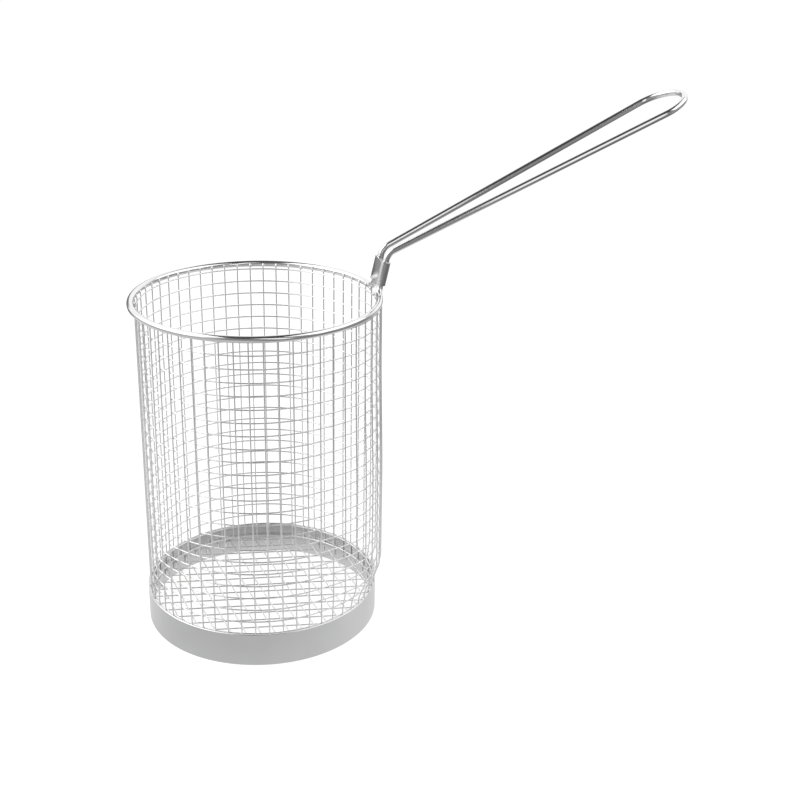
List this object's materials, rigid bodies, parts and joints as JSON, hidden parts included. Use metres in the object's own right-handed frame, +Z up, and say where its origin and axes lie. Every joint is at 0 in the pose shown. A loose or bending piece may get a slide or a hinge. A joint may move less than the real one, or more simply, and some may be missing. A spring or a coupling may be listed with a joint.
{
  "type": "wire basket strainer",
  "caption": "Deep round wire mesh basket with a solid base band, a thick rim wire and a long upswept wire loop handle held by a crimped clip.",
  "frame": {"origin": "centre of the base band's bottom edge, on the surface that the basket stands on", "axes": "+Z up along the basket's axis, +X outward along the handle as seen from above, +Y to the left of the handle"},
  "size_m": [0.2723, 0.12, 0.257],
  "materials": {
    "polished_wire": "polished stainless steel wire",
    "satin_sheet": "satin stainless steel sheet",
    "mesh_wire": "bright drawn stainless steel wire, welded at each crossing"
  },
  "bodies": {
    "root": {"base_band": "satin_sheet", "rim_wire": "polished_wire", "handle_wire": "polished_wire", "handle_clip": "satin_sheet", "side_uprights": "mesh_wire", "floor_wires_lower": "mesh_wire", "floor_wires_upper": "mesh_wire", "hoop_01": "mesh_wire", "hoop_02": "mesh_wire", "hoop_03": "mesh_wire", "hoop_04": "mesh_wire", "hoop_05": "mesh_wire", "hoop_06": "mesh_wire", "hoop_07": "mesh_wire", "hoop_08": "mesh_wire", "hoop_09": "mesh_wire", "hoop_10": "mesh_wire", "hoop_11": "mesh_wire", "hoop_12": "mesh_wire", "hoop_13": "mesh_wire", "hoop_14": "mesh_wire", "hoop_15": "mesh_wire", "hoop_16": "mesh_wire", "hoop_17": "mesh_wire", "hoop_18": "mesh_wire", "hoop_19": "mesh_wire", "hoop_20": "mesh_wire", "hoop_21": "mesh_wire", "hoop_22": "mesh_wire", "hoop_23": "mesh_wire", "hoop_24": "mesh_wire", "hoop_25": "mesh_wire"}
  },
  "joints": []
}
